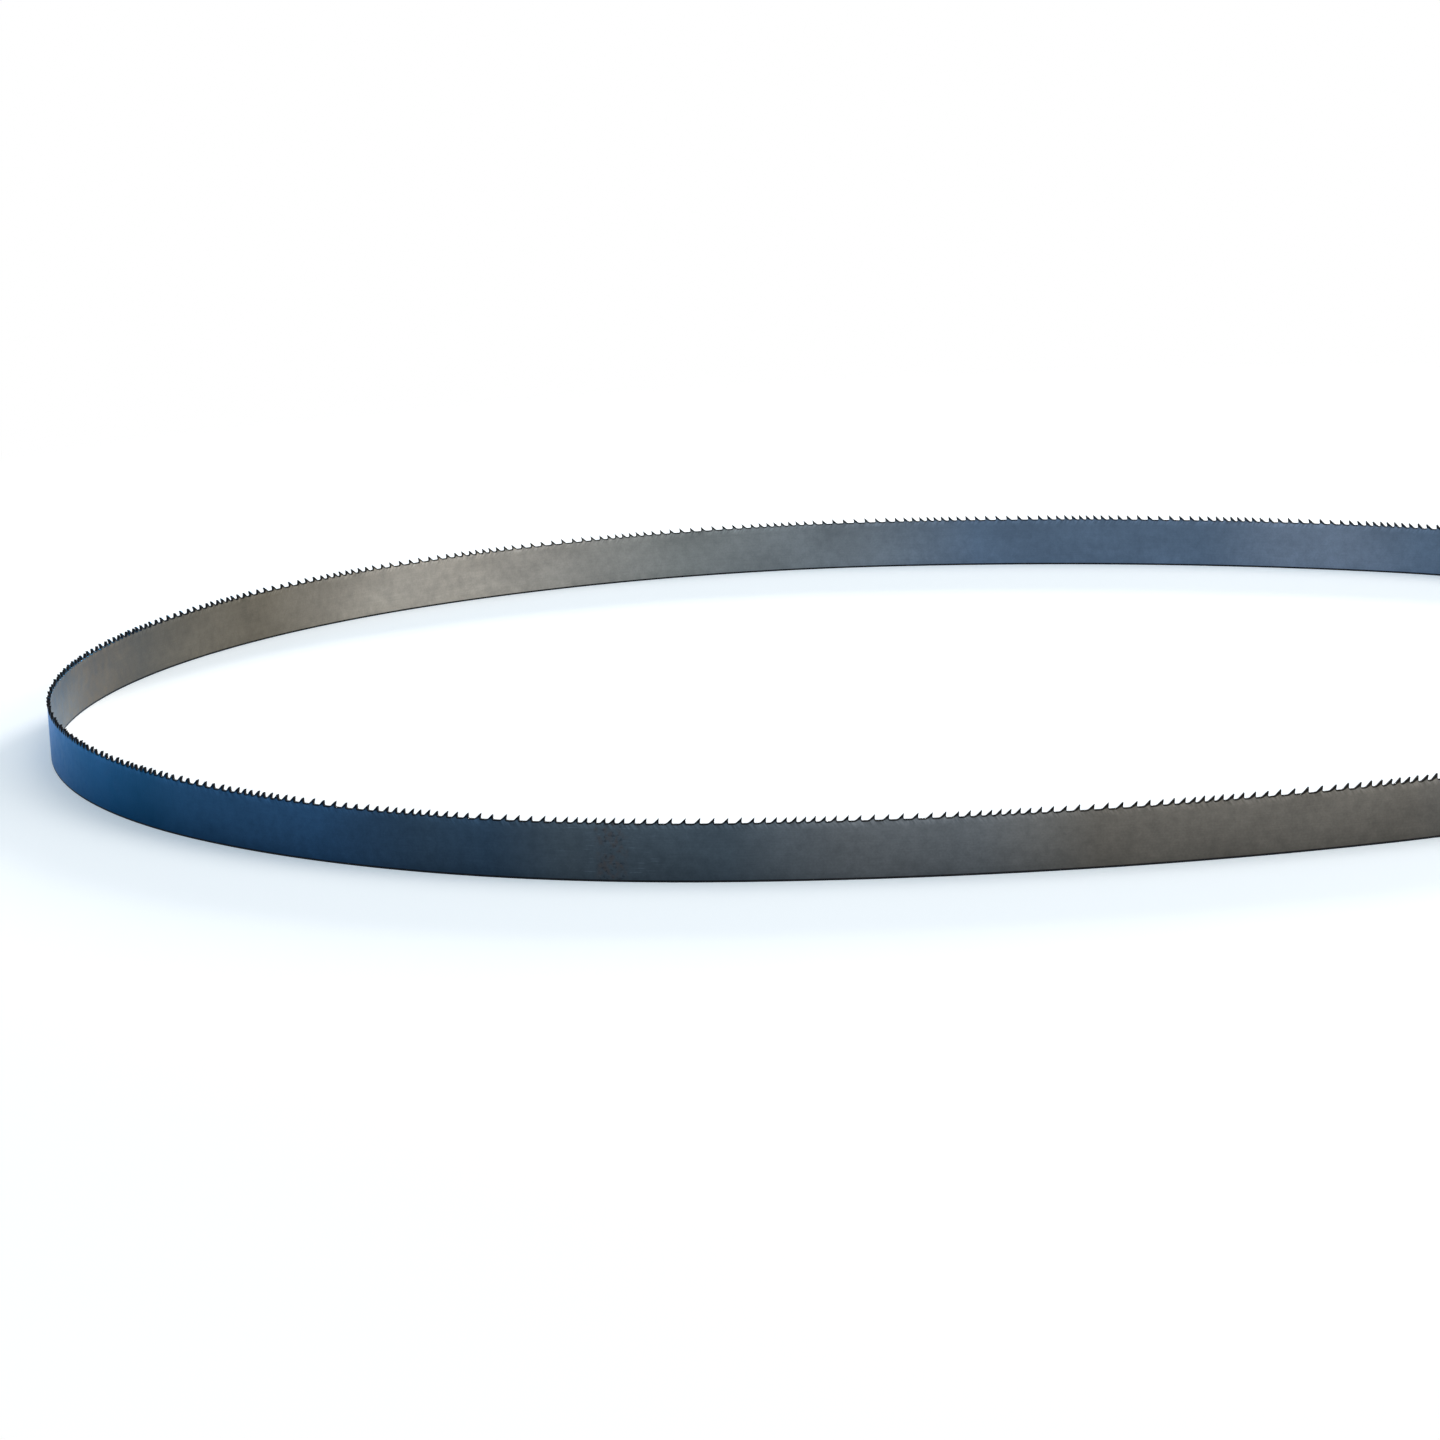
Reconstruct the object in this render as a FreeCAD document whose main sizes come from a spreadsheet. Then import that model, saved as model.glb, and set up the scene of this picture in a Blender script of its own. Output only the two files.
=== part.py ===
# Band saw blade: one closed loop of thin steel strip, with set teeth of variable pitch along one edge.
# Millimetres and degrees. +Z is up: the smooth back edge rests on Z = 0 and the teeth point up.
# The relaxed loop is an oval of six tangent arcs, symmetric about X, with its big end towards -X.
import FreeCAD, Part
import math
import os
import Sketcher

from FreeCAD import Vector

NODE = "band_saw_blade"
SHEET = "dimensions"
UP = Vector(0, 0, 1)

# Driving dimensions: name, value, meaning
DIMENSIONS = (
    ("loop_length", 1140.0, "strip once round, at half its thickness"),
    ("band_width", 12.7, "back edge to tooth tips"),
    ("band_thickness", 0.64, "strip thickness"),
    ("back_bevel", 0.08, "broken corners of the back edge"),
    ("big_end_radius", 155.8, "bend of the loop's big end, at half the thickness"),
    ("big_end_turn", 103.0, "turn of that bend, from one shoulder to the other"),
    ("shoulder_radius", 185.0, "bend of its two shoulders, between the big end and the flanks"),
    ("flank_radius", 333.0, "bend of its two long flanks"),
    ("small_end_radius", 149.3, "bend of its small end"),
    ("tooth_groups", 29, "repeats of the pitch pattern round the loop"),
    ("teeth_per_group", 17, "teeth in one repeat"),
    ("pitch_swing", 0.21, "swing of the pitch about its mean, as a share of the mean"),
    ("weld_distance", 238.0, "strip from the big end's middle to the weld, where the pattern starts"),
    ("tooth_height", 1.1, "gullet floor to tooth tip"),
    ("rake_angle", 8.0, "undercut of a tooth's cutting face"),
    ("gullet_corner", 0.28, "broken corner at the foot of the cutting face"),
    ("back_angle", 42.0, "slope of a tooth's back"),
    ("heel_angle", 22.0, "slope where the back runs out into the gullet"),
    ("heel_height", 0.22, "height of that run-out"),
    ("side_set", 0.2, "lean of a set tooth's tip to one side"),
    ("root_relief", 0.02, "flat tooth roots stand this far inside the strip's curved faces"),
)

# Lean of a group's teeth in turn: out, in, out, in, straight, and again
SET_ORDER = (1, -1, 1, -1, 0)


def make_sheet(doc):
    """The driving dimensions, and the spacing of the end arcs that closes the loop at its length."""
    sheet = doc.addObject("Spreadsheet::Sheet", SHEET)
    for name, value, meaning in DIMENSIONS:
        add_dimension(sheet, name, value, meaning)
    add_dimension(sheet, "end_spacing", find_end_spacing(sheet), "worked out: between the end arcs' centres")
    return sheet


def add_dimension(sheet, name, value, meaning):
    row = len(sheet.getUsedCells()) // 3 + 1
    sheet.set(f"A{row}", name)
    sheet.set(f"B{row}", str(value))
    sheet.set(f"C{row}", meaning)
    sheet.setAlias(f"B{row}", name)
    sheet.Document.recompute()


def shoulder_offset(size):
    """From the big end's centre to the centre of the near shoulder's bend."""
    turn = math.radians(size.big_end_turn / 2)
    return Vector(math.cos(turn), math.sin(turn), 0) * (size.shoulder_radius - size.big_end_radius)


def half_turns(size, spacing):
    """Turn from the big end's middle to the end of a shoulder, and half the turn of the small end, from
    the triangle of the centres of a shoulder, its flank and the small end."""
    offset = shoulder_offset(size)
    base = Vector(spacing, 0, 0) - offset
    tilt = math.atan2(offset.y, base.x)
    shoulder_side = size.flank_radius - size.shoulder_radius
    small_side = size.flank_radius - size.small_end_radius
    shoulder_cosine = (base.Length**2 + shoulder_side**2 - small_side**2) / (2 * base.Length * shoulder_side)
    small_cosine = (base.Length**2 + small_side**2 - shoulder_side**2) / (2 * base.Length * small_side)
    return math.acos(shoulder_cosine) - tilt, math.acos(small_cosine) + tilt


def length_of_loop(size, spacing):
    big_half = math.radians(size.big_end_turn / 2)
    shoulder_half, small_half = half_turns(size, spacing)
    big_side = size.big_end_radius * big_half + size.shoulder_radius * (shoulder_half - big_half)
    flank = size.flank_radius * (math.pi - shoulder_half - small_half)
    return 2 * (big_side + flank + size.small_end_radius * small_half)


def find_end_spacing(size):
    """The further apart the end arcs' centres, the longer the loop: halve the range until it fits."""
    offset = shoulder_offset(size)
    flat_triangle = abs(size.shoulder_radius - size.small_end_radius)
    open_triangle = 2 * size.flank_radius - size.shoulder_radius - size.small_end_radius
    shortest = offset.x + math.sqrt(max(flat_triangle**2 - offset.y**2, 0))
    longest = offset.x + math.sqrt(open_triangle**2 - offset.y**2)
    while longest - shortest > 1e-9:
        middle = (shortest + longest) / 2
        if length_of_loop(size, middle) < size.loop_length:
            shortest = middle
        else:
            longest = middle
    return longest


def loop_arcs(size):
    """The oval's arcs, anticlockwise: name, radius dimension, centre, first angle, turn."""
    big_half = math.radians(size.big_end_turn / 2)
    shoulder_half, small_half = half_turns(size, size.end_spacing)
    shoulder_turn = shoulder_half - big_half
    flank_turn = math.pi - shoulder_half - small_half
    big_centre = Vector(-(size.end_spacing + size.small_end_radius - size.big_end_radius) / 2, 0, 0)
    small_centre = big_centre + Vector(size.end_spacing, 0, 0)
    near_shoulder = big_centre + shoulder_offset(size)
    flank_way = Vector(math.cos(shoulder_half), math.sin(shoulder_half), 0)
    near_flank = near_shoulder + flank_way * (size.flank_radius - size.shoulder_radius)
    far_flank = Vector(near_flank.x, -near_flank.y, 0)
    far_shoulder = Vector(near_shoulder.x, -near_shoulder.y, 0)
    return (
        ("big_end", "big_end_radius", big_centre, math.pi - big_half, 2 * big_half),
        ("near_shoulder", "shoulder_radius", near_shoulder, math.pi + big_half, shoulder_turn),
        ("near_flank", "flank_radius", near_flank, math.pi + shoulder_half, flank_turn),
        ("small_end", "small_end_radius", small_centre, -small_half, 2 * small_half),
        ("far_flank", "flank_radius", far_flank, small_half, flank_turn),
        ("far_shoulder", "shoulder_radius", far_shoulder, math.pi - shoulder_half, shoulder_turn),
    )


# Strip: the thin ring between two ovals, padded up to the gullet floor, with its back corners broken


def draw_oval(sketch, size, face, sign):
    """One closed oval, half the thickness outside or inside the strip's middle line."""
    arcs = loop_arcs(size)
    first = sketch.GeometryCount
    for index, (name, radius_name, centre, angle, turn) in enumerate(arcs, start=first):
        radius = getattr(size, radius_name) + sign * size.band_thickness / 2
        sketch.addGeometry(Part.ArcOfCircle(Part.Circle(centre, UP, radius), angle, angle + turn))
        bind(
            sketch,
            Sketcher.Constraint("Radius", index, radius),
            f"{name}_{face}",
            f"{SHEET}.{radius_name} + {sign} * {SHEET}.band_thickness / 2",
        )
    start, end, centre_point, x_axis, origin = 1, 2, 3, -1, (-1, 1)
    for step in range(len(arcs)):
        follower = first + (step + 1) % len(arcs)
        sketch.addConstraint(Sketcher.Constraint("Tangent", first + step, end, follower, start))
    big_end, small_end = first, first + 3
    for index in (big_end, small_end):
        sketch.addConstraint(Sketcher.Constraint("PointOnObject", index, centre_point, x_axis))
    bind(
        sketch,
        Sketcher.Constraint("DistanceX", big_end, centre_point, *origin, -arcs[0][2].x),
        f"big_end_place_{face}",
        f"({SHEET}.end_spacing + {SHEET}.small_end_radius - {SHEET}.big_end_radius) / 2",
    )
    bind(
        sketch,
        Sketcher.Constraint("DistanceX", *origin, small_end, centre_point, arcs[3][2].x),
        f"small_end_place_{face}",
        f"({SHEET}.end_spacing + {SHEET}.big_end_radius - {SHEET}.small_end_radius) / 2",
    )
    reach = (size.big_end_radius + sign * size.band_thickness / 2) * math.sin(arcs[0][4] / 2)
    for side, ends in (("far", (*origin, big_end, start)), ("near", (big_end, end, *origin))):
        bind(
            sketch,
            Sketcher.Constraint("DistanceY", *ends, reach),
            f"{side}_shoulder_place_{face}",
            f"({SHEET}.big_end_radius + {sign} * {SHEET}.band_thickness / 2) * sin({SHEET}.big_end_turn / 2)",
        )


def bind(sketch, constraint, name, formula):
    index = sketch.addConstraint(constraint)
    sketch.renameConstraint(index, name)
    sketch.setExpression(f"Constraints.{name}", formula)


def make_strip(doc, size):
    body = doc.addObject("PartDesign::Body", "strip")
    plane = next(item for item in body.Origin.OriginFeatures if item.Role == "XY_Plane")
    plan = body.newObject("Sketcher::SketchObject", "strip_plan")
    plan.AttachmentSupport = (plane, [""])
    plan.MapMode = "FlatFace"
    draw_oval(plan, size, "outside", 1)
    draw_oval(plan, size, "inside", -1)

    pad = body.newObject("PartDesign::Pad", "strip_pad")
    pad.Profile = plan
    pad.setExpression("Length", f"{SHEET}.band_width - {SHEET}.tooth_height")
    doc.recompute()

    back_edges = [
        f"Edge{number}"
        for number, edge in enumerate(pad.Shape.Edges, start=1)
        if edge.BoundBox.ZMax < size.back_bevel
    ]
    bevel = body.newObject("PartDesign::Chamfer", "back_bevels")
    bevel.Base = (pad, back_edges)
    bevel.setExpression("Size", f"{SHEET}.back_bevel")
    body.Tip = bevel
    doc.recompute()
    return body


# Teeth: each a flat-sided tooth cut square through the strip, leaning out, in or not at all


def tooth_outline(size):
    """Side view of a tooth: (ahead of the tip, above the gullet floor), starting at the tip."""
    rake_run = (size.tooth_height - size.gullet_corner) * tangent(size.rake_angle)
    back_run = (size.tooth_height - size.heel_height) / tangent(size.back_angle)
    heel_run = size.heel_height / tangent(size.heel_angle)
    return (
        (0, size.tooth_height),
        (-rake_run, size.gullet_corner),
        (size.gullet_corner - rake_run, 0),
        (-back_run - heel_run, 0),
        (-back_run, size.heel_height),
    )


def tangent(degrees):
    return math.tan(math.radians(degrees))


def tip_distances(size):
    """Distance of every tooth tip along the strip from the weld, which lies midway between two tips."""
    mean_pitch = size.loop_length / (size.tooth_groups * size.teeth_per_group)
    pitches = [
        mean_pitch * (1 - size.pitch_swing * math.cos(2 * math.pi * number / size.teeth_per_group))
        for number in range(size.teeth_per_group)
    ]
    distances = []
    tip = pitches[0] / 2
    for _ in range(size.tooth_groups):
        for number in range(size.teeth_per_group):
            distances.append(tip)
            tip += pitches[(number + 1) % size.teeth_per_group]
    return distances


def place_on_loop(size, arcs, distance):
    """Point on the strip's middle line, a distance anticlockwise from the big end's middle, and its
    outward direction."""
    travel = distance + size.big_end_radius * arcs[0][4] / 2
    travel %= size.loop_length
    for _, radius_name, centre, angle, turn in arcs:
        radius = getattr(size, radius_name)
        if travel <= radius * turn:
            break
        travel -= radius * turn
    outward = Vector(math.cos(angle + travel / radius), math.sin(angle + travel / radius), 0)
    return centre + outward * radius, outward


def make_tooth(size, outline, point, outward, lean):
    """The outline on the inner face, tilted by the set, extruded outwards through the strip."""
    ahead = UP.cross(outward)
    root_thickness = size.band_thickness - 2 * size.root_relief
    inner_root = point - outward * (root_thickness / 2) + UP * (size.band_width - size.tooth_height)
    corners = [
        inner_root + ahead * run + UP * height + outward * (lean * size.side_set * height / size.tooth_height)
        for run, height in outline
    ]
    return Part.Face(Part.makePolygon(corners + corners[:1])).extrude(outward * root_thickness)


def make_teeth(doc, size):
    arcs = loop_arcs(size)
    outline = tooth_outline(size)
    solids = []
    for number, distance in enumerate(tip_distances(size)):
        point, outward = place_on_loop(size, arcs, size.weld_distance + distance)
        lean = SET_ORDER[number % size.teeth_per_group % len(SET_ORDER)]
        solids.append(make_tooth(size, outline, point, outward, lean))
    teeth = doc.addObject("Part::Feature", "teeth")
    teeth.Shape = Part.makeCompound(solids)
    return teeth


# Whole blade


def make_blade(doc, strip, teeth):
    blade = doc.addObject("Part::Fuse", NODE)
    blade.Label = NODE
    blade.Base = strip
    blade.Tool = teeth
    blade.Placement = FreeCAD.Placement()
    doc.recompute()
    return blade


def check(doc, blade):
    """Stops with a plain message if anything failed, or the blade isn't one sound solid."""
    for item in doc.Objects:
        if "Invalid" in item.State or "Error" in item.State:
            raise RuntimeError(f"{item.Label} failed to build")
    shape = blade.Shape
    if shape.isNull() or not shape.isValid() or len(shape.Solids) != 1:
        raise RuntimeError(f"{blade.Label} isn't one valid solid")


os.makedirs("parts", exist_ok=True)
document = FreeCAD.newDocument("band_saw_blade_model")
dimensions = make_sheet(document)
strip = make_strip(document, dimensions)
teeth = make_teeth(document, dimensions)
blade = make_blade(document, strip, teeth)
check(document, blade)
blade.Shape.exportStep(f"parts/{blade.Label}.step")
print(f"{blade.Label}: {len(teeth.Shape.Solids)} teeth, {blade.Shape.Volume / 1000:.3f} cubic centimetres")
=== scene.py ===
import math

import bmesh
import bpy
from mathutils import Matrix, Vector


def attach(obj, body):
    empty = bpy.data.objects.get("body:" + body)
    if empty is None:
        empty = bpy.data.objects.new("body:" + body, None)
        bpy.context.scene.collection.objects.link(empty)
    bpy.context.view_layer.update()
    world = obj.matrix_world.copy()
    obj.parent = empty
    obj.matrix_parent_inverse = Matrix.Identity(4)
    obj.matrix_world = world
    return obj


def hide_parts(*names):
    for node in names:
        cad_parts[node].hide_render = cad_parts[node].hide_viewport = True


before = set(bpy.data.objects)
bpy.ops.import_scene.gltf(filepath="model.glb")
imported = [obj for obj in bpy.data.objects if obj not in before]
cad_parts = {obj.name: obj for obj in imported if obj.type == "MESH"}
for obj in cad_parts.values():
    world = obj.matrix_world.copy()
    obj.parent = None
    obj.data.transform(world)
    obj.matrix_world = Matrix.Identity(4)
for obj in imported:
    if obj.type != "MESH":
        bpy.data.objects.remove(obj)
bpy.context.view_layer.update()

scene = bpy.context.scene

# Blade
# One strip of spring steel, toothed along its front edge, welded end to end and blued by heat treatment.
# Off its wheels it relaxes into an oval of tangent arcs. Its teeth are set out and in by turns, and every
# fifth is left straight.

LOOP_LENGTH = 1.140
BIG_END_RADIUS = 0.1558
BIG_END_HALF_TURN = math.radians(51.5)
SHOULDER_RADIUS = 0.185
FLANK_RADIUS = 0.333
SMALL_END_RADIUS = 0.1493
CLOSING_ERROR = 1e-10

BAND_WIDTH = 0.0127
BAND_THICKNESS = 0.00064
TOOTH_GROUPS = 29
TEETH_PER_GROUP = 17
PITCH_SWING = 0.21
FIRST_GROUP_DISTANCE = 0.238
WELD_PLACE = 0.0018
GROUP_LENGTH = LOOP_LENGTH / TOOTH_GROUPS

TOOTH_HEIGHT = 0.0011
RAKE_ANGLE = math.radians(8)
GULLET_RADIUS = 0.00025
BACK_ANGLE = math.radians(42)
HEEL_RADIUS = 0.0008
TIP_LAND = 0.00003
GULLET_FLOOR = BAND_WIDTH - TOOTH_HEIGHT
SIDE_SET = 0.0002
SET_ORDER = (1, -1, 1, -1, 0)
SET_BEND = 1.3
INNER, OUTER = -1, 1
# up to this height the back edge is dark: painted shade, a dark line where the edge meets the floor
BLACK_LINE = 0.00035


def shoulder_offset():
    """From the big end's centre to the centre of the near shoulder's bend."""
    way = Vector((math.cos(BIG_END_HALF_TURN), math.sin(BIG_END_HALF_TURN), 0))
    return way * (SHOULDER_RADIUS - BIG_END_RADIUS)


def half_turns(spacing):
    """Turn from the big end's middle to the end of a shoulder, and half the turn of the small end, from
    the triangle of the centres of a shoulder, its flank and the small end."""
    base = Vector((spacing, 0, 0)) - shoulder_offset()
    tilt = math.atan2(-base.y, base.x)
    shoulder_side = FLANK_RADIUS - SHOULDER_RADIUS
    small_side = FLANK_RADIUS - SMALL_END_RADIUS
    at_shoulder = corner_angle(base.length, shoulder_side, small_side)
    at_small_end = corner_angle(base.length, small_side, shoulder_side)
    return at_shoulder - tilt, at_small_end + tilt


def corner_angle(base, beside, opposite):
    """Angle of a triangle between its base and the side beside it."""
    return math.acos((base**2 + beside**2 - opposite**2) / (2 * base * beside))


def length_of_loop(spacing):
    shoulder_half, small_half = half_turns(spacing)
    big_side = BIG_END_RADIUS * BIG_END_HALF_TURN + SHOULDER_RADIUS * (shoulder_half - BIG_END_HALF_TURN)
    flank = FLANK_RADIUS * (math.pi - shoulder_half - small_half)
    return 2 * (big_side + flank + SMALL_END_RADIUS * small_half)


def end_spacing():
    """Between the centres of the two end bends: the further apart, the longer the loop."""
    offset = shoulder_offset()
    shortest = offset.x + math.sqrt((SHOULDER_RADIUS - SMALL_END_RADIUS) ** 2 - offset.y**2)
    longest = 2 * FLANK_RADIUS - SHOULDER_RADIUS - SMALL_END_RADIUS
    while longest - shortest > CLOSING_ERROR:
        middle = (shortest + longest) / 2
        if length_of_loop(middle) < LOOP_LENGTH:
            shortest = middle
        else:
            longest = middle
    return longest


def loop_arcs():
    """The oval's arcs, anticlockwise from the far end of the big end's bend: radius, centre, angle, turn."""
    spacing = end_spacing()
    shoulder_half, small_half = half_turns(spacing)
    shoulder_turn = shoulder_half - BIG_END_HALF_TURN
    flank_turn = math.pi - shoulder_half - small_half
    big_end = Vector((-(spacing + SMALL_END_RADIUS - BIG_END_RADIUS) / 2, 0, 0))
    small_end = big_end + Vector((spacing, 0, 0))
    near_shoulder = big_end + shoulder_offset()
    flank_way = Vector((math.cos(shoulder_half), math.sin(shoulder_half), 0))
    near_flank = near_shoulder + flank_way * (FLANK_RADIUS - SHOULDER_RADIUS)
    far_flank = near_flank * Vector((1, -1, 1))
    far_shoulder = near_shoulder * Vector((1, -1, 1))
    return (
        (BIG_END_RADIUS, big_end, math.pi - BIG_END_HALF_TURN, 2 * BIG_END_HALF_TURN),
        (SHOULDER_RADIUS, near_shoulder, math.pi + BIG_END_HALF_TURN, shoulder_turn),
        (FLANK_RADIUS, near_flank, math.pi + shoulder_half, flank_turn),
        (SMALL_END_RADIUS, small_end, -small_half, 2 * small_half),
        (FLANK_RADIUS, far_flank, small_half, flank_turn),
        (SHOULDER_RADIUS, far_shoulder, math.pi - shoulder_half, shoulder_turn),
    )


def point_on_loop(arcs, travel):
    """Point on the strip's middle line, a distance anticlockwise from the big end's middle."""
    travel = (travel + BIG_END_RADIUS * BIG_END_HALF_TURN) % LOOP_LENGTH
    for radius, centre, angle, turn in arcs:
        if travel <= radius * turn:
            break
        travel -= radius * turn
    angle += travel / radius
    return centre + Vector((math.cos(angle), math.sin(angle), 0)) * radius


def middle_line(start):
    """The closed curve that the strip is bent along, from a distance past the big end's middle."""
    step = 0.001
    arcs = loop_arcs()
    curve = bpy.data.curves.new("middle_line", "CURVE")
    curve.dimensions = "3D"
    spline = curve.splines.new("POLY")
    spline.points.add(round(LOOP_LENGTH / step) - 1)
    for number, point in enumerate(spline.points):
        point.co = (*point_on_loop(arcs, start + number * step), 1)
    spline.use_cyclic_u = True
    line = bpy.data.objects.new("middle_line", curve)
    scene.collection.objects.link(line)
    return line


def pitch(number):
    """From the tooth before to this one: the spacing swings once over each group, against chatter."""
    swing = PITCH_SWING * math.cos(2 * math.pi * number / TEETH_PER_GROUP)
    return GROUP_LENGTH / TEETH_PER_GROUP * (1 - swing)


def arc(centre, radius, first, last, steps):
    angles = [first + (last - first) * step / steps for step in range(steps + 1)]
    return [(centre[0] + radius * math.cos(a), centre[1] + radius * math.sin(a)) for a in angles]


def tooth_side_view():
    """One tooth from its heel over the tip to the gullet's floor: (ahead of the tip, above the floor)."""
    heel_steps, gullet_steps = 4, 6
    back_levels = (0.45 * TOOTH_HEIGHT, 0.72 * TOOTH_HEIGHT)
    face_levels = (0.75 * TOOTH_HEIGHT, 0.5 * TOOTH_HEIGHT)
    downwards = -math.pi / 2
    heel_reach = TIP_LAND + TOOTH_HEIGHT / math.tan(BACK_ANGLE) + HEEL_RADIUS * math.tan(BACK_ANGLE / 2)
    heel = arc((-heel_reach, HEEL_RADIUS), HEEL_RADIUS, downwards, downwards + BACK_ANGLE, heel_steps)
    back = [(-TIP_LAND - (TOOTH_HEIGHT - level) / math.tan(BACK_ANGLE), level) for level in back_levels]
    tip = [(-TIP_LAND, TOOTH_HEIGHT), (0, TOOTH_HEIGHT)]
    cutting_face = [(-(TOOTH_HEIGHT - level) * math.tan(RAKE_ANGLE), level) for level in face_levels]
    gullet_ahead = GULLET_RADIUS / math.cos(RAKE_ANGLE)
    gullet_ahead -= (TOOTH_HEIGHT - GULLET_RADIUS) * math.tan(RAKE_ANGLE)
    gullet = arc(
        (gullet_ahead, GULLET_RADIUS), GULLET_RADIUS, math.pi - RAKE_ANGLE, 1.5 * math.pi, gullet_steps
    )
    return heel + back + tip + cutting_face + gullet


def cut_edge(outline, start):
    """The toothed edge of one group: (foot along the strip, edge along the strip, height, way of set)."""
    floor_steps = 3
    run = [0.0]
    for point, after in zip(outline, outline[1:]):
        run.append(run[-1] + math.dist(point, after))
    reach = outline[-1][0] - outline[0][0]
    columns = []
    place = start
    tip = pitch(0) / 2
    for number in range(TEETH_PER_GROUP):
        heel = tip + outline[0][0]
        for step in range(floor_steps):
            along = place + (heel - place) * step / floor_steps
            columns.append((along, along, 0, 0))
        way = SET_ORDER[number % len(SET_ORDER)]
        for (ahead, height), gone in zip(outline[:-1], run):
            columns.append((heel + reach * gone / run[-1], tip + ahead, height, way))
        place = heel + reach
        tip += pitch((number + 1) % TEETH_PER_GROUP)
    columns.append((place, place, 0, 0))
    return columns


def lean(height, way):
    """Sideways set of a point, growing from just below the gullet's floor to the tooth's tip."""
    bend_depth = 0.0001
    bend_start = GULLET_FLOOR - bend_depth
    share = max(0.0, height - bend_start) / (BAND_WIDTH - bend_start)
    return way * SIDE_SET * share**SET_BEND


def toothed_side(mesh, columns, side):
    """One face of the strip: its teeth in rows of quads, and its plain band down to the rounded back."""
    root_depth = 0.0004
    root_row = GULLET_FLOOR - root_depth
    row_shares = (0.0, 0.36, 0.7, 1.0)
    back_round = 0.0001
    slope = 1 - math.sqrt(0.5)
    back_rows = (
        (0, BLACK_LINE),
        (0, back_round),
        (back_round * slope, back_round * slope),
        (back_round, 0),
    )
    band_columns = 5
    half = BAND_THICKNESS / 2
    near_cut = mesh.verts.layers.float["near_cut"]
    blackened = mesh.faces.layers.bool["blackened"]
    teeth = []
    for foot, edge, height, way in columns:
        column = []
        for share in row_shares:
            level = root_row + (GULLET_FLOOR + height - root_row) * share
            across = side * half + lean(level, way)
            column.append(mesh.verts.new((foot + (edge - foot) * share, across, level)))
            column[-1][near_cut] = share
        teeth.append(column)
    for column, after in zip(teeth, teeth[1:]):
        for low in range(len(row_shares) - 1):
            face(mesh, side, column[low], after[low], after[low + 1], column[low + 1])

    rows = [
        [mesh.verts.new((column[0].co.x, side * (half - inset), level)) for column in teeth[::band_columns]]
        for inset, level in back_rows
    ]
    for place in range(len(rows[0]) - 1):
        roots = [column[0] for column in teeth[place * band_columns:(place + 1) * band_columns + 1]]
        face(mesh, side, rows[0][place], rows[0][place + 1], *reversed(roots))
        # faces from the black line round the back take the near-black material: painted shade where the edge
        # meets the floor
        for upper, lower in zip(rows, rows[1:]):
            made = face(mesh, side, lower[place], lower[place + 1], upper[place + 1], upper[place])
            made[blackened] = True
    return [column[-1] for column in teeth], rows[-1]


def face(mesh, side, *corners):
    """A face that looks outwards on the bent loop. Bending mirrors the flat strip, so its faces look
    inwards before it, and their corners run the other way round on the inner side."""
    made = mesh.faces.new(corners if side == OUTER else corners[::-1])
    made.smooth = True
    return made


def toothed_strip(start):
    """One group of teeth on a straight length of strip: x along it, y outwards, z across its width."""
    sharp_angle = math.radians(32)
    columns = cut_edge(tooth_side_view(), start)
    mesh = bmesh.new()
    blackened = mesh.faces.layers.bool.new("blackened")
    mesh.verts.layers.float.new("near_cut")
    inner_edge, inner_back = toothed_side(mesh, columns, INNER)
    outer_edge, outer_back = toothed_side(mesh, columns, OUTER)
    # the cut faces along the teeth and the back face take the near-black material; on the back it is painted
    # shade
    for near, far, side in ((inner_edge, outer_edge, INNER), (inner_back, outer_back, OUTER)):
        for number in range(len(near) - 1):
            made = face(mesh, side, near[number], near[number + 1], far[number + 1], far[number])
            made[blackened] = True
    for edge in mesh.edges:
        edge.smooth = not edge.is_manifold or edge.calc_face_angle() < sharp_angle
    strip = bpy.data.meshes.new("toothed_strip")
    mesh.to_mesh(strip)
    mesh.free()
    return strip


def add_node(tree, kind, values=None, **settings):
    """A node with its settings, and its sockets joined to other nodes' sockets or given values."""
    node = tree.nodes.new(kind)
    for name, setting in settings.items():
        setattr(node, name, setting)
    for socket, value in (values or {}).items():
        if isinstance(value, bpy.types.NodeSocket):
            tree.links.new(value, node.inputs[socket])
        else:
            node.inputs[socket].default_value = value
    return node


def result(tree, operation, *terms):
    """What a math node makes of its terms."""
    return add_node(tree, "ShaderNodeMath", dict(enumerate(terms)), operation=operation).outputs[0]


def vector_result(tree, operation, *terms):
    """What a vector math node makes of its terms: a vector, or with LENGTH a number."""
    node = add_node(tree, "ShaderNodeVectorMath", dict(enumerate(terms)), operation=operation)
    return node.outputs["Value" if operation == "LENGTH" else 0]


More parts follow.
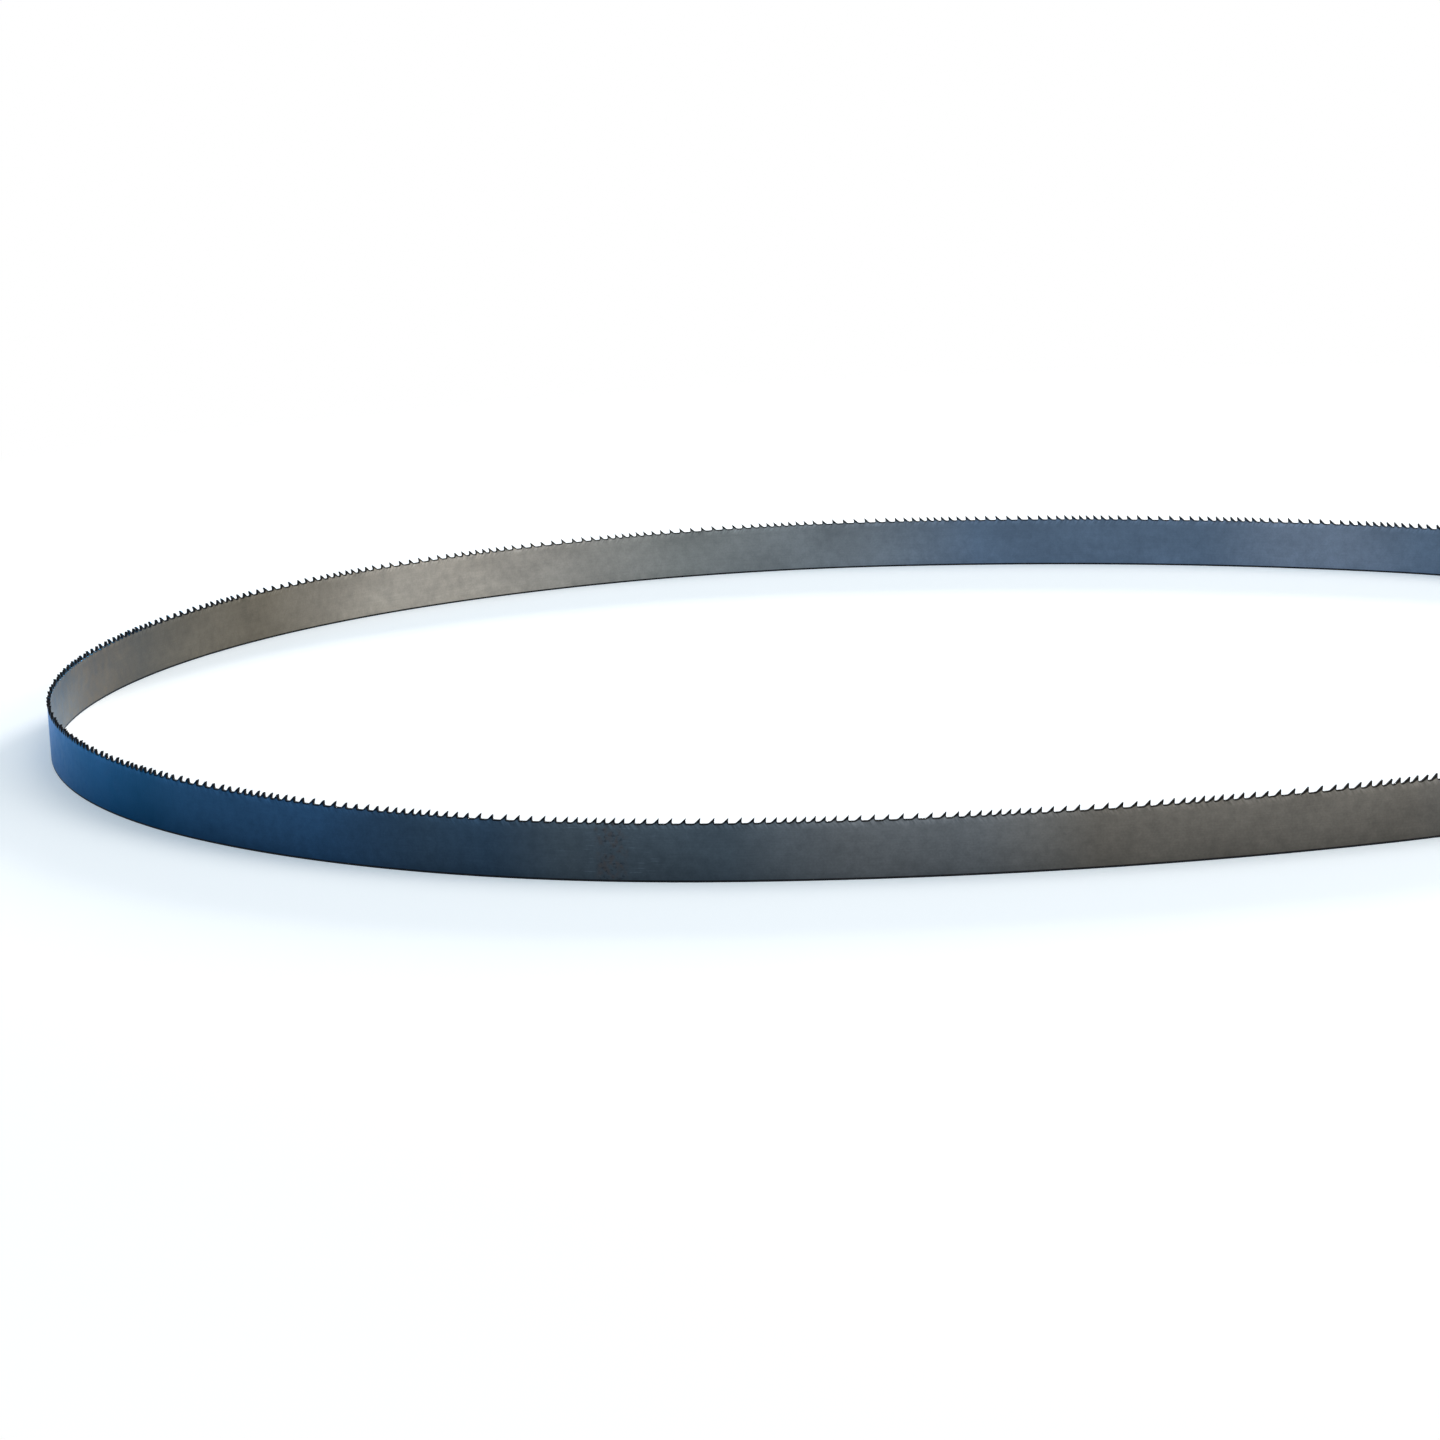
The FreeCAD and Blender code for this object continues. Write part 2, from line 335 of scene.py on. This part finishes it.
def bend_and_weld():
    """Lays the groups end to end, swells the strip at its weld, bends it round the loop and joins it."""
    join_within = 0.000003
    tree = bpy.data.node_groups.new("bend_and_weld", "GeometryNodeTree")
    for name, kind in (
        ("Strip", "NodeSocketGeometry"),
        ("Groups", "NodeSocketInt"),
        ("Group length", "NodeSocketFloat"),
        ("Loop length", "NodeSocketFloat"),
        ("First gullet", "NodeSocketFloat"),
        ("Weld place", "NodeSocketFloat"),
        ("Weld width", "NodeSocketFloat"),
        ("Weld swell", "NodeSocketFloat"),
        ("Middle line", "NodeSocketObject"),
        ("Steel", "NodeSocketMaterial"),
        # the near-black material for the cut faces, and painted shade for the back edge
        ("Scale", "NodeSocketMaterial"),
    ):
        tree.interface.new_socket(name, in_out="INPUT", socket_type=kind)
    tree.interface.new_socket("Blade", in_out="OUTPUT", socket_type="NodeSocketGeometry")
    given = add_node(tree, "NodeGroupInput").outputs

    # the groups in a row, with each corner's place on the straight strip kept for the materials
    offset = add_node(tree, "ShaderNodeCombineXYZ", {"X": given["Group length"]}).outputs[0]
    line = add_node(tree, "GeometryNodeMeshLine", {"Count": given["Groups"], "Offset": offset}).outputs[0]
    groups = add_node(tree, "GeometryNodeInstanceOnPoints", {"Points": line, "Instance": given["Strip"]})
    strip = add_node(tree, "GeometryNodeRealizeInstances", {0: groups.outputs[0]})
    place = add_node(tree, "GeometryNodeInputPosition").outputs[0]
    marked = add_node(
        tree,
        "GeometryNodeStoreNamedAttribute",
        {"Geometry": strip.outputs[0], "Name": "strip_place", "Value": place},
        data_type="FLOAT_VECTOR",
        domain="CORNER",
    )
    apart = add_node(tree, "ShaderNodeSeparateXYZ", {0: place}).outputs

    # a low swell on both faces at the weld
    half_loop = result(tree, "MULTIPLY", given["Loop length"], 0.5)
    past_weld = result(tree, "SUBTRACT", apart["X"], given["Weld place"])
    from_weld = result(tree, "PINGPONG", past_weld, half_loop)
    share = result(tree, "DIVIDE", from_weld, given["Weld width"])
    squared = result(tree, "POWER", share, 2.0)
    bell = result(tree, "EXPONENT", result(tree, "MULTIPLY", squared, -1.0))
    side = result(tree, "SIGN", apart["Y"])
    swell = result(tree, "MULTIPLY", result(tree, "MULTIPLY", bell, side), given["Weld swell"])
    outwards = result(tree, "ADD", apart["Y"], swell)

    # the bend round the middle line
    travel = result(tree, "SUBTRACT", apart["X"], given["First gullet"])
    path = add_node(tree, "GeometryNodeObjectInfo", {"Object": given["Middle line"]}).outputs["Geometry"]
    sample = add_node(
        tree,
        "GeometryNodeSampleCurve",
        {"Curves": path, "Length": travel},
        mode="LENGTH",
        use_all_curves=False,
    ).outputs
    square_out = vector_result(tree, "CROSS_PRODUCT", sample["Tangent"], (0, 0, 1))
    unit_out = vector_result(tree, "NORMALIZE", square_out)
    shift = add_node(tree, "ShaderNodeVectorMath", {0: unit_out, "Scale": outwards}, operation="SCALE")
    rise = add_node(tree, "ShaderNodeCombineXYZ", {"Z": apart["Z"]}).outputs[0]
    on_face = vector_result(tree, "ADD", sample["Position"], shift.outputs[0])
    raised = vector_result(tree, "ADD", on_face, rise)
    bent = add_node(tree, "GeometryNodeSetPosition", {"Geometry": marked.outputs[0], "Position": raised})
    joined = add_node(
        tree, "GeometryNodeMergeByDistance", {"Geometry": bent.outputs[0], "Distance": join_within}
    )

    # steel all over, then the near-black material on the cut faces, and on the back edge as painted shade
    steel = add_node(
        tree, "GeometryNodeSetMaterial", {"Geometry": joined.outputs[0], "Material": given["Steel"]}
    )
    blackened = add_node(
        tree, "GeometryNodeInputNamedAttribute", {"Name": "blackened"}, data_type="BOOLEAN"
    )
    blackening = add_node(
        tree,
        "GeometryNodeSetMaterial",
        {"Geometry": steel.outputs[0], "Selection": blackened.outputs[0], "Material": given["Scale"]},
    )
    add_node(tree, "NodeGroupOutput", {0: blackening.outputs[0]})
    return tree


SKY_BLUE = (0.045, 0.13, 0.3)
BLUE = (0.031, 0.067, 0.14)
NAVY = (0.016, 0.046, 0.098)
SLATE = (0.021, 0.041, 0.069)
DUSK_GREY = (0.041, 0.057, 0.073)
GREY = (0.093, 0.101, 0.109)
WARM_GREY = (0.112, 0.102, 0.089)
OLIVE_GREY = (0.165, 0.143, 0.11)
TAN = (0.25, 0.18, 0.1)
STRAW = (0.3, 0.275, 0.24)
PALE_GREY = (0.25, 0.237, 0.215)
ASH_GREY = (0.17, 0.182, 0.18)
SMOKE_BLUE = (0.135, 0.16, 0.185)
STEEL_BLUE = (0.082, 0.122, 0.182)
PALE_BLUE = (0.125, 0.165, 0.228)
WELD_BROWN = (0.055, 0.048, 0.048)
PIT_BLACK = (0.01, 0.014, 0.022)
# near black for the cut faces, and painted shade along the back edge
CUT_FACE_AND_BACK_SHADE_BLACK = (0.009, 0.01, 0.013)
EDGE_AND_BACK_SHADE_DARKENING = (0.09, 0.09, 0.09)
SHEEN_BLUE = (0.42, 0.63, 0.9)

# distance past the big end's middle, and the colour there: the steel's blueing, whose drift along the loop
# is painted reflection and highlight, such as the sky blue outside the big end and the straw inside the far
# shoulder
OUTER_BLUEING_AND_PAINTED_REFLECTIONS = (
    (0, SKY_BLUE), (0.04, SKY_BLUE), (0.085, BLUE), (0.12, NAVY), (0.175, NAVY), (0.2, SLATE),
    (0.215, SLATE), (0.23, DUSK_GREY), (0.262, DUSK_GREY), (0.287, GREY), (0.31, GREY),
    (0.335, WARM_GREY), (0.395, WARM_GREY), (0.46, GREY), (0.6, SLATE), (0.8, NAVY), (1.0, BLUE),
    (1.14, SKY_BLUE),
)
INNER_BLUEING_AND_PAINTED_REFLECTIONS = (
    (0, TAN), (0.15, WARM_GREY), (0.35, SLATE), (0.5, STEEL_BLUE), (0.738, STEEL_BLUE),
    (0.758, PALE_BLUE), (0.776, PALE_BLUE), (0.796, STEEL_BLUE), (0.855, STEEL_BLUE),
    (0.885, SMOKE_BLUE), (0.93, ASH_GREY), (0.965, PALE_GREY), (0.99, STRAW), (1.007, STRAW),
    (1.05, OLIVE_GREY), (1.1, OLIVE_GREY), (1.13, TAN), (1.14, TAN),
)

GRAIN_RANGE = (0.3, 0.7)


def colour_along(tree, travel, colours):
    """Colour by the share of the loop, from (distance past the big end's middle, colour) pairs."""
    ramp = add_node(tree, "ShaderNodeValToRGB", {0: travel})
    stops = ramp.color_ramp.elements
    while len(stops) < len(colours):
        stops.new(1)
    for stop, (distance, colour) in zip(stops, colours):
        stop.position = distance / LOOP_LENGTH
        stop.color = (*colour, 1)
    return ramp.outputs[0]


def grain(tree, place, per_metre, detail):
    """Noise between 0 and 1, with so many features a metre along each axis of the place."""
    scaled = vector_result(tree, "MULTIPLY", place, per_metre)
    noise = add_node(tree, "ShaderNodeTexNoise", {"Vector": scaled, "Scale": 1.0, "Detail": detail})
    return noise.outputs[0]


def fade(tree, value, none_at, full_at, most=1.0):
    """Smooth share from 0 where the value is none_at to most where it is full_at."""
    spread = {"Value": value, "From Min": none_at, "From Max": full_at, "To Max": most}
    return add_node(tree, "ShaderNodeMapRange", spread, interpolation_type="SMOOTHSTEP").outputs[0]


def linear(tree, value, lowest, highest, first, last):
    """From first to last as the value goes from lowest to highest."""
    spread = {"Value": value, "From Min": lowest, "From Max": highest, "To Min": first, "To Max": last}
    return add_node(tree, "ShaderNodeMapRange", spread).outputs[0]


def mix_numbers(tree, share, first, second):
    """From the first number to the second by a share, through the Mix node's sockets for numbers."""
    share_in, first_in, second_in = 0, 2, 3
    sockets = {share_in: share, first_in: first, second_in: second}
    return add_node(tree, "ShaderNodeMix", sockets).outputs[0]


def mix_colours(tree, share, first, second, blend="MIX"):
    """The second colour laid over the first by a share, through the Mix node's sockets for colours."""
    share_in, first_in, second_in, colour_out = 0, 6, 7, 2
    sockets = {share_in: share, first_in: first, second_in: second}
    mix = add_node(tree, "ShaderNodeMix", sockets, data_type="RGBA", blend_type=blend)
    return mix.outputs[colour_out]


def shaded(tree, colour, pattern, darkest, palest):
    """The colour times a shade between the two limits, by a pattern from grain."""
    shade = linear(tree, pattern, *GRAIN_RANGE, darkest, palest)
    return mix_colours(tree, 1.0, colour, shade, blend="MULTIPLY")


def place_on_strip(tree):
    """A point's place on the straight strip: along it, outwards and across its width."""
    return add_node(tree, "ShaderNodeAttribute", attribute_name="strip_place").outputs["Vector"]


def blueing_with_painted_light(tree, along, outwards, height):
    """Blueing whose drift along the strip is painted reflection and highlight, with painted shading across
    the width: paler towards the teeth outside and towards the back inside.
    """
    # painted shading across the width: the outside paler towards the teeth, the inside paler towards the
    # back
    outer_painted_shades = (0.87, 1.25)
    inner_painted_shades = (1.15, 0.92)
    past_big_end = result(tree, "ADD", along, FIRST_GROUP_DISTANCE)
    laps = result(tree, "DIVIDE", past_big_end, LOOP_LENGTH)
    travel = result(tree, "FRACT", laps)
    outside = result(tree, "GREATER_THAN", outwards, 0.0)
    inner_colour = colour_along(tree, travel, INNER_BLUEING_AND_PAINTED_REFLECTIONS)
    outer_colour = colour_along(tree, travel, OUTER_BLUEING_AND_PAINTED_REFLECTIONS)
    colour = mix_colours(tree, outside, inner_colour, outer_colour)
    inner_painted_shade = linear(tree, height, 0.0, GULLET_FLOOR, *inner_painted_shades)
    outer_painted_shade = linear(tree, height, 0.0, GULLET_FLOOR, *outer_painted_shades)
    shade = mix_numbers(tree, outside, inner_painted_shade, outer_painted_shade)
    return mix_colours(tree, 1.0, colour, shade, blend="MULTIPLY")


def with_creases(tree, colour, along, outwards, height):
    """Slanting creases below the gullets, where the teeth are bent out to their set."""
    slant = 0.6
    lowest, fullest = GULLET_FLOOR - 0.0016, GULLET_FLOOR - 0.0002
    slanted = result(tree, "MULTIPLY_ADD", height, slant, along)
    leaning = add_node(tree, "ShaderNodeCombineXYZ", {0: slanted, 1: outwards, 2: height}).outputs[0]
    creases = grain(tree, leaning, per_metre=(1900, 4000, 500), detail=2.0)
    bent_zone = fade(tree, height, none_at=lowest, full_at=fullest)
    return mix_colours(tree, bent_zone, colour, shaded(tree, colour, creases, darkest=0.8, palest=1.5))


def with_weld(tree, colour, patch, from_weld, place, spot, mottle):
    """The weld, ground flush and annealed: blotchy brown, with dark pits, and grinding marks each side."""
    blotches = grain(tree, spot, per_metre=(900, 900, 700), detail=3.0)
    stain = fade(tree, blotches, none_at=0.42, full_at=0.68, most=0.6)
    colour = mix_colours(tree, result(tree, "MULTIPLY", patch, stain), colour, (*WELD_BROWN, 1))
    specks = grain(tree, spot, per_metre=(1300, 1300, 1900), detail=2.0)
    pits = fade(tree, specks, none_at=0.55, full_at=0.7, most=0.5)
    colour = mix_colours(tree, result(tree, "MULTIPLY", patch, pits), colour, (*PIT_BLACK, 1))
    streaks = grain(tree, place, per_metre=(230, 4000, 3600), detail=1.0)
    dashes = fade(tree, streaks, none_at=0.62, full_at=0.76, most=0.5)
    ground = result(tree, "MULTIPLY", fade(tree, from_weld, none_at=0.016, full_at=0.005), dashes)
    return mix_colours(tree, ground, colour, shaded(tree, colour, mottle, darkest=1.2, palest=1.9))


def with_black_edges(tree, colour, height):
    """Near black along the cut outline of the teeth and over their tips, and painted shade along the back
    edge: a dark line where it meets the floor.
    """
    near_cut = add_node(tree, "ShaderNodeAttribute", attribute_name="near_cut").outputs["Fac"]
    outline = fade(tree, near_cut, none_at=0.28, full_at=0.6)
    tips = fade(tree, height, none_at=GULLET_FLOOR + 0.0002, full_at=GULLET_FLOOR + 0.0007)
    # painted shade: a dark line along the back edge, where it meets the floor
    back = fade(tree, height, none_at=0.0005, full_at=BLACK_LINE)
    blackening = result(tree, "MAXIMUM", result(tree, "MAXIMUM", outline, tips), back)
    blackened = mix_colours(tree, 1.0, colour, (*EDGE_AND_BACK_SHADE_DARKENING, 1), blend="MULTIPLY")
    return mix_colours(tree, blackening, colour, blackened)


def blued_steel():
    """Heat-blued strip, whose temper colours drift along it as painted reflections and highlights, with
    painted shading across its width and a painted dark line along the back edge; mottled oxide, rolling
    lines and the weld.
    """
    smoothest, roughest, weld_roughness = 0.31, 0.41, 0.12
    relief_strength, relief_depth = 0.25, 0.00001
    ragged_by = 0.004
    steel = bpy.data.materials.new("blued_strip_steel")
    steel.use_nodes = True
    tree = steel.node_tree
    shader = tree.nodes["Principled BSDF"]
    shader.inputs["Metallic"].default_value = 1.0
    shader.inputs["Specular Tint"].default_value = (*SHEEN_BLUE, 1)
    place = place_on_strip(tree)
    along, outwards, height = add_node(tree, "ShaderNodeSeparateXYZ", {0: place}).outputs
    spot = add_node(tree, "ShaderNodeTexCoord").outputs["Object"]

    # clouds, mottling and specks in the oxide, and lines left by the rolls
    clouds = grain(tree, spot, per_metre=(60, 60, 90), detail=2.0)
    mottle = grain(tree, spot, per_metre=(520, 520, 520), detail=3.0)
    specks = grain(tree, spot, per_metre=(2400, 2400, 2400), detail=2.0)
    hair_lines = grain(tree, place, per_metre=(90, 4000, 9000), detail=2.0)
    colour = blueing_with_painted_light(tree, along, outwards, height)
    colour = shaded(tree, colour, clouds, darkest=0.9, palest=1.1)
    colour = shaded(tree, colour, mottle, darkest=0.91, palest=1.09)
    colour = shaded(tree, colour, specks, darkest=0.94, palest=1.06)
    colour = shaded(tree, colour, hair_lines, darkest=0.96, palest=1.04)
    colour = with_creases(tree, colour, along, outwards, height)

    # the weld's patch, with a ragged border
    past_weld = result(tree, "SUBTRACT", along, WELD_PLACE)
    from_weld = result(tree, "PINGPONG", past_weld, LOOP_LENGTH / 2)
    ragged = result(tree, "MULTIPLY_ADD", mottle, ragged_by, from_weld)
    patch = fade(tree, ragged, none_at=0.006, full_at=0.0035)
    colour = with_weld(tree, colour, patch, from_weld, place, spot, mottle)
    colour = with_black_edges(tree, colour, height)
    tree.links.new(colour, shader.inputs["Base Color"])

    gloss = linear(tree, mottle, *GRAIN_RANGE, smoothest, roughest)
    rough = result(tree, "MULTIPLY_ADD", patch, weld_roughness, gloss)
    tree.links.new(rough, shader.inputs["Roughness"])
    relief = result(tree, "ADD", hair_lines, mottle)
    settings = {"Height": relief, "Strength": relief_strength, "Distance": relief_depth}
    tree.links.new(add_node(tree, "ShaderNodeBump", settings).outputs[0], shader.inputs["Normal"])
    return steel


def black_cuts_and_painted_back_shade():
    """Matt near-black material for the cut faces of the teeth and gullets, and painted shade on the back
    edge.
    """
    smoothest, roughest = 0.6, 0.8
    blackening = bpy.data.materials.new("black_cuts_and_painted_back_shade")
    blackening.use_nodes = True
    tree = blackening.node_tree
    shader = tree.nodes["Principled BSDF"]
    shader.inputs["Specular IOR Level"].default_value = 0.15
    flecks = grain(tree, place_on_strip(tree), per_metre=(2500, 2500, 2500), detail=2.0)
    colour = shaded(tree, (*CUT_FACE_AND_BACK_SHADE_BLACK, 1), flecks, darkest=0.5, palest=1.8)
    tree.links.new(colour, shader.inputs["Base Color"])
    tree.links.new(linear(tree, flecks, *GRAIN_RANGE, smoothest, roughest), shader.inputs["Roughness"])
    return blackening


first_gullet = tooth_side_view()[-1][0] - pitch(0) / 2
path = middle_line(FIRST_GROUP_DISTANCE + first_gullet)
blade = bpy.data.objects.new("blade", toothed_strip(first_gullet))
scene.collection.objects.link(blade)
bend = blade.modifiers.new("bend_and_weld", "NODES")
bend.node_group = bend_and_weld()
settings = {
    "Groups": TOOTH_GROUPS,
    "Group length": GROUP_LENGTH,
    "Loop length": LOOP_LENGTH,
    "First gullet": first_gullet,
    "Weld place": WELD_PLACE,
    "Weld width": 0.0025,
    "Weld swell": 0.00003,
    "Middle line": path,
    "Steel": blued_steel(),
    "Scale": black_cuts_and_painted_back_shade(),
}
for socket in bend.node_group.interface.items_tree:
    if socket.name in settings:
        bend[socket.identifier] = settings[socket.name]
bpy.context.view_layer.update()
welded = bpy.data.meshes.new_from_object(blade.evaluated_get(bpy.context.evaluated_depsgraph_get()))
blade.modifiers.remove(bend)
blade.data = welded
bpy.data.objects.remove(path)

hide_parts("band_saw_blade")
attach(blade, "root")

# Floor
# A wide sheet of matt white board, on which the blade stands and throws its soft shadow.
# Away from the blade it is brought up to pure white, so that it has no visible end.

FLOOR_REACH = 6.0
BOARD_WHITE = (0.8, 0.8, 0.8)
LIFT_COLOUR = (0.76, 0.9, 1)
LIFT_STRENGTH = 0.36
PURE_WHITE_STARTS = 0.3
PURE_WHITE_BEYOND = 0.5

floor_mesh = bpy.data.meshes.new("floor")
floor_corners = [(x * FLOOR_REACH, y * FLOOR_REACH, 0) for x, y in ((-1, -1), (1, -1), (1, 1), (-1, 1))]
floor_mesh.from_pydata(floor_corners, [], [(0, 1, 2, 3)])
floor = bpy.data.objects.new("floor", floor_mesh)
scene.collection.objects.link(floor)


def seen_directly(tree):
    """1 for what the camera sees, also in a reflection, and 0 for the light that falls on things."""
    ray = add_node(tree, "ShaderNodeLightPath").outputs
    mirrored = result(tree, "MAXIMUM", ray["Is Glossy Ray"], ray["Is Transmission Ray"])
    return result(tree, "MAXIMUM", ray["Is Camera Ray"], mirrored)


def white_board():
    """Matt board, brought up to white, and pure white well away from the blade and its shadow."""
    board = bpy.data.materials.new("white_board")
    board.use_nodes = True
    tree = board.node_tree
    matt = add_node(tree, "ShaderNodeBsdfDiffuse", {"Color": (*BOARD_WHITE, 1)})
    seen = seen_directly(tree)
    glow = result(tree, "MULTIPLY", seen, LIFT_STRENGTH)
    lift = add_node(tree, "ShaderNodeEmission", {"Color": (*LIFT_COLOUR, 1), "Strength": glow})
    near = add_node(tree, "ShaderNodeAddShader", {0: matt.outputs[0], 1: lift.outputs[0]}).outputs[0]
    place = add_node(tree, "ShaderNodeTexCoord").outputs["Object"]
    away = fade(tree, vector_result(tree, "LENGTH", place), PURE_WHITE_STARTS, PURE_WHITE_BEYOND)
    white = add_node(tree, "ShaderNodeEmission", {"Strength": 1.0}).outputs[0]
    share = result(tree, "MULTIPLY", away, seen)
    whole = add_node(tree, "ShaderNodeMixShader", {0: share, 1: near, 2: white})
    tree.links.new(whole.outputs[0], tree.nodes["Material Output"].inputs["Surface"])
    return board


floor.data.materials.append(white_board())

# Light
# A dim white room with four soft lights: a small low one behind, which throws the shadow forwards,
# a broad one above, and one on each side, of which the left one is faint and blue.

ROOM_COLOUR = (0.84, 0.92, 1)
ROOM_STRENGTH = 0.38
WARM_WHITE = (1, 0.98, 0.95)
WARMER_WHITE = (1, 0.97, 0.92)
CLEAR_BLUE = (0.5, 0.75, 1)

world = bpy.data.worlds.new("studio")
scene.world = world
world.use_nodes = True
room = world.node_tree
background = room.nodes["Background"]
background.inputs["Color"].default_value = (1, 1, 1, 1)
dim = add_node(room, "ShaderNodeBackground", {"Color": (*ROOM_COLOUR, 1), "Strength": ROOM_STRENGTH})
mixed = add_node(
    room, "ShaderNodeMixShader", {0: seen_directly(room), 1: dim.outputs[0], 2: background.outputs[0]}
)
room.links.new(mixed.outputs[0], room.nodes["World Output"].inputs["Surface"])


def soft_light(name, azimuth, elevation, distance, size, power, colour):
    """A square soft light that looks at the object's middle; azimuth 0 is on the camera's side."""
    lamp = bpy.data.lights.new(name, "AREA")
    lamp.size = size
    lamp.energy = power
    lamp.color = colour
    holder = bpy.data.objects.new(name, lamp)
    round_it = Matrix.Rotation(math.radians(azimuth), 4, "Z")
    down_on_it = Matrix.Rotation(math.radians(90 - elevation), 4, "X")
    holder.matrix_world = round_it @ down_on_it @ Matrix.Translation((0, 0, distance))
    scene.collection.objects.link(holder)


soft_light("back_light", azimuth=172, elevation=14, distance=1.8, size=0.35, power=42, colour=WARM_WHITE)
soft_light("top_light", azimuth=150, elevation=65, distance=1.8, size=1.4, power=10, colour=WARM_WHITE)
soft_light("right_light", azimuth=68, elevation=25, distance=1.6, size=0.9, power=12, colour=WARMER_WHITE)
soft_light("left_light", azimuth=-80, elevation=30, distance=1.6, size=0.8, power=2, colour=CLEAR_BLUE)

# Camera
# A long lens in front of the near flank, raised a little and tilted down on the loop.
# It is turned towards the big end, so that the frame's right edge cuts off the small end.

FRAME_PIXELS = 1440
FOCAL_PIXELS = 4892
SENSOR_WIDTH = 36
FARTHEST_SEEN = 20
LOOP_HEADING = math.radians(8.114)
LOOK_DOWN = 0.214993
ROLL = 0.049111
STAND = Vector((-0.046917, -1.070970, 0.231541))

view = bpy.data.cameras.new("camera")
view.sensor_width = SENSOR_WIDTH
view.lens = SENSOR_WIDTH * FOCAL_PIXELS / FRAME_PIXELS
view.clip_end = FARTHEST_SEEN
camera = bpy.data.objects.new("camera", view)
scene.collection.objects.link(camera)
aim = Matrix.Rotation(math.pi / 2 - LOOK_DOWN, 4, "X") @ Matrix.Rotation(-ROLL, 4, "Z")
camera.matrix_world = Matrix.Rotation(LOOP_HEADING, 4, "Z") @ Matrix.Translation(STAND) @ aim
scene.camera = camera
scene.view_settings.view_transform = "Standard"
